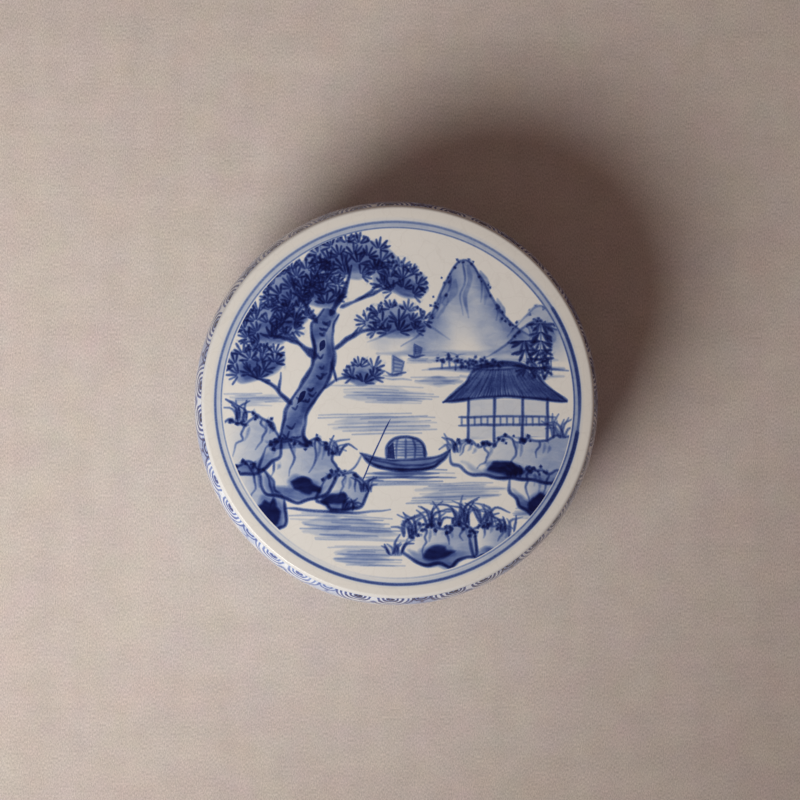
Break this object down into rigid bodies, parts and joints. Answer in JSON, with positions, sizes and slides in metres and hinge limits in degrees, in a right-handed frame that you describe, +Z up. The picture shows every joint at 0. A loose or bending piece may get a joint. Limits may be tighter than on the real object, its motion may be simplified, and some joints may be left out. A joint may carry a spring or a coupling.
{
  "type": "seal paste box",
  "caption": "Round blue-and-white porcelain box with a lift-off lid over an inner rim, holding red seal paste.",
  "frame": {"origin": "centre of the foot ring, on the surface that the box stands on", "axes": "+Z up along the box's axis, which the lid lifts along; +X to the right and +Y away, as the lid's painting is seen from above"},
  "size_m": [0.08, 0.08, 0.034],
  "materials": {
    "box_porcelain": "gloss",
    "lid_porcelain": "gloss",
    "seal_paste": "satin"
  },
  "bodies": {
    "box": {"box_base": "box_porcelain", "seal_paste": "seal_paste"},
    "lid": {"lid": "lid_porcelain"}
  },
  "joints": [
    {"name": "lid_lift", "type": "slide", "parent": "box", "child": "lid", "axis": [0, 0, 1], "range_m": [0, 0.06]}
  ]
}
